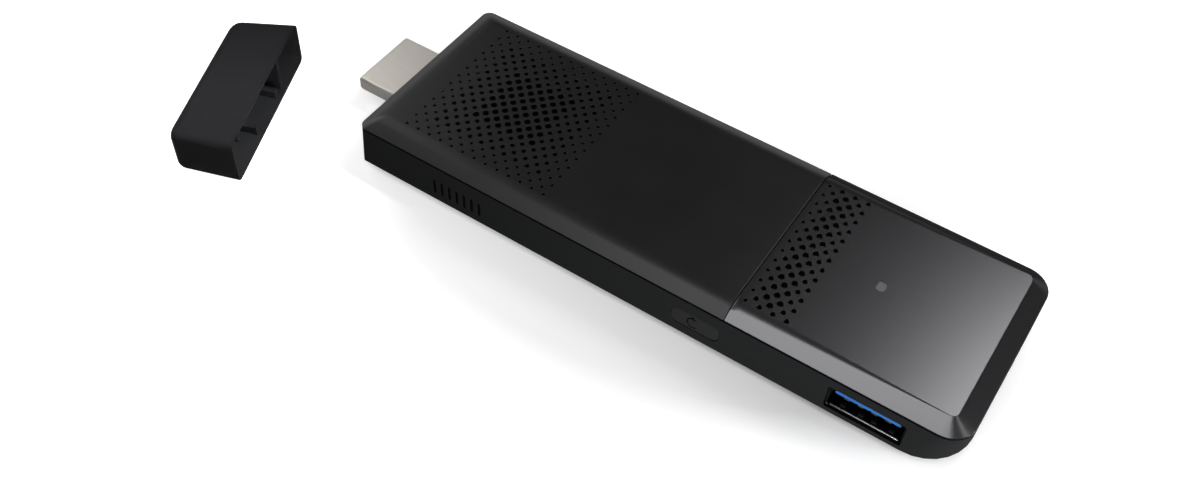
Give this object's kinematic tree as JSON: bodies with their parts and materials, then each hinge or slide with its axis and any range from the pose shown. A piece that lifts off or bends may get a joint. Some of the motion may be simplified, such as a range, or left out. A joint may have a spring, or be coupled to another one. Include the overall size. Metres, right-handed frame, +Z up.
{
  "type": "hdmi stick computer",
  "caption": "Slim black stick computer with an HDMI plug at one end, a grille and vents in its covers, side ports, a power button, a blower inside and a loose plug cap.",
  "frame": {"origin": "centre of the case's flat underside", "axes": "+X along the stick towards its rear end, the plug points along -X; -Y is the side with the slots, the button and the wide port; +Z up"},
  "size_m": [0.1523, 0.0572, 0.012],
  "materials": {
    "case_plastic": "fine-grained black plastic",
    "cover_plastic": "fine-grained black plastic",
    "cap_plastic": "smooth black plastic",
    "button_plastic": "smooth black plastic with a pale power symbol",
    "gloss_cover": "glossy gun-metal lacquer",
    "window_plastic": "milky clear plastic",
    "lamp": "light-emitting chip in pale resin",
    "plug_steel": "plated sheet steel, slightly warm",
    "port_steel": "plated sheet steel",
    "contact_gold": "gold-plated strip",
    "insulator": "black moulded plastic",
    "blue_insulator": "blue moulded plastic",
    "board": "green lacquered glass-fibre board",
    "screw_steel": "zinc-plated steel",
    "copper": "bare copper",
    "pad": "soft grey thermal pad",
    "fin_aluminium": "plain stamped aluminium",
    "fan_plastic": "black moulded plastic",
    "magnet": "sintered magnet",
    "bearing_bronze": "sintered bronze",
    "shaft_steel": "ground steel",
    "chip": "black moulded resin",
    "ferrite": "grey pressed ferrite",
    "ceramic": "pale ceramic"
  },
  "bodies": {
    "stick": {"bottom_case": "case_plastic", "top_cover": "cover_plastic", "rear_cover": "gloss_cover", "light_pipe": "window_plastic", "status_light": "lamp", "hdmi_shell": "plug_steel", "hdmi_insulator": "insulator", "hdmi_contacts": "contact_gold", "main_board": "board", "board_screws": "screw_steel", "processor": "chip", "thermal_pad": "pad", "heat_plate": "copper", "heat_screws": "screw_steel", "heat_pipe": "copper", "heat_fins": "fin_aluminium", "fan_housing": "fan_plastic", "fan_lid": "fan_plastic", "fan_screws": "screw_steel", "fan_bearing": "bearing_bronze", "fan_stator": "copper", "memory_chips": "chip", "storage_chip": "chip", "power_inductors": "ferrite", "wireless_module": "port_steel", "antennas": "ceramic", "usb_a_shell": "port_steel", "usb_a_tongue": "blue_insulator", "usb_a_contacts": "contact_gold", "usb_c_shell": "port_steel", "usb_c_tongue": "insulator", "usb_c_contacts": "contact_gold", "card_socket": "port_steel", "power_switch": "chip"},
    "power_button": {"power_button": "button_plastic", "switch_plunger": "ceramic"},
    "fan_rotor": {"fan_rotor": "fan_plastic", "fan_magnet": "magnet", "fan_shaft": "shaft_steel"},
    "plug_cap": {"plug_cap": "cap_plastic"}
  },
  "joints": [
    {"name": "button_press", "type": "slide", "parent": "stick", "child": "power_button", "axis": [0, 1, 0], "range_m": [0, 0.00035], "stiffness_N_per_m": 2000},
    {"name": "fan_spin", "type": "hinge", "parent": "stick", "child": "fan_rotor", "pos_m": [-0.0345, 0.0026, 0.0064], "axis": [0, 0, 1], "continuous": true},
    {"name": "cap_lift", "type": "slide", "parent": "stick", "child": "plug_cap", "axis": [0, 0, 1], "range_m": [0, 0.04]}
  ]
}
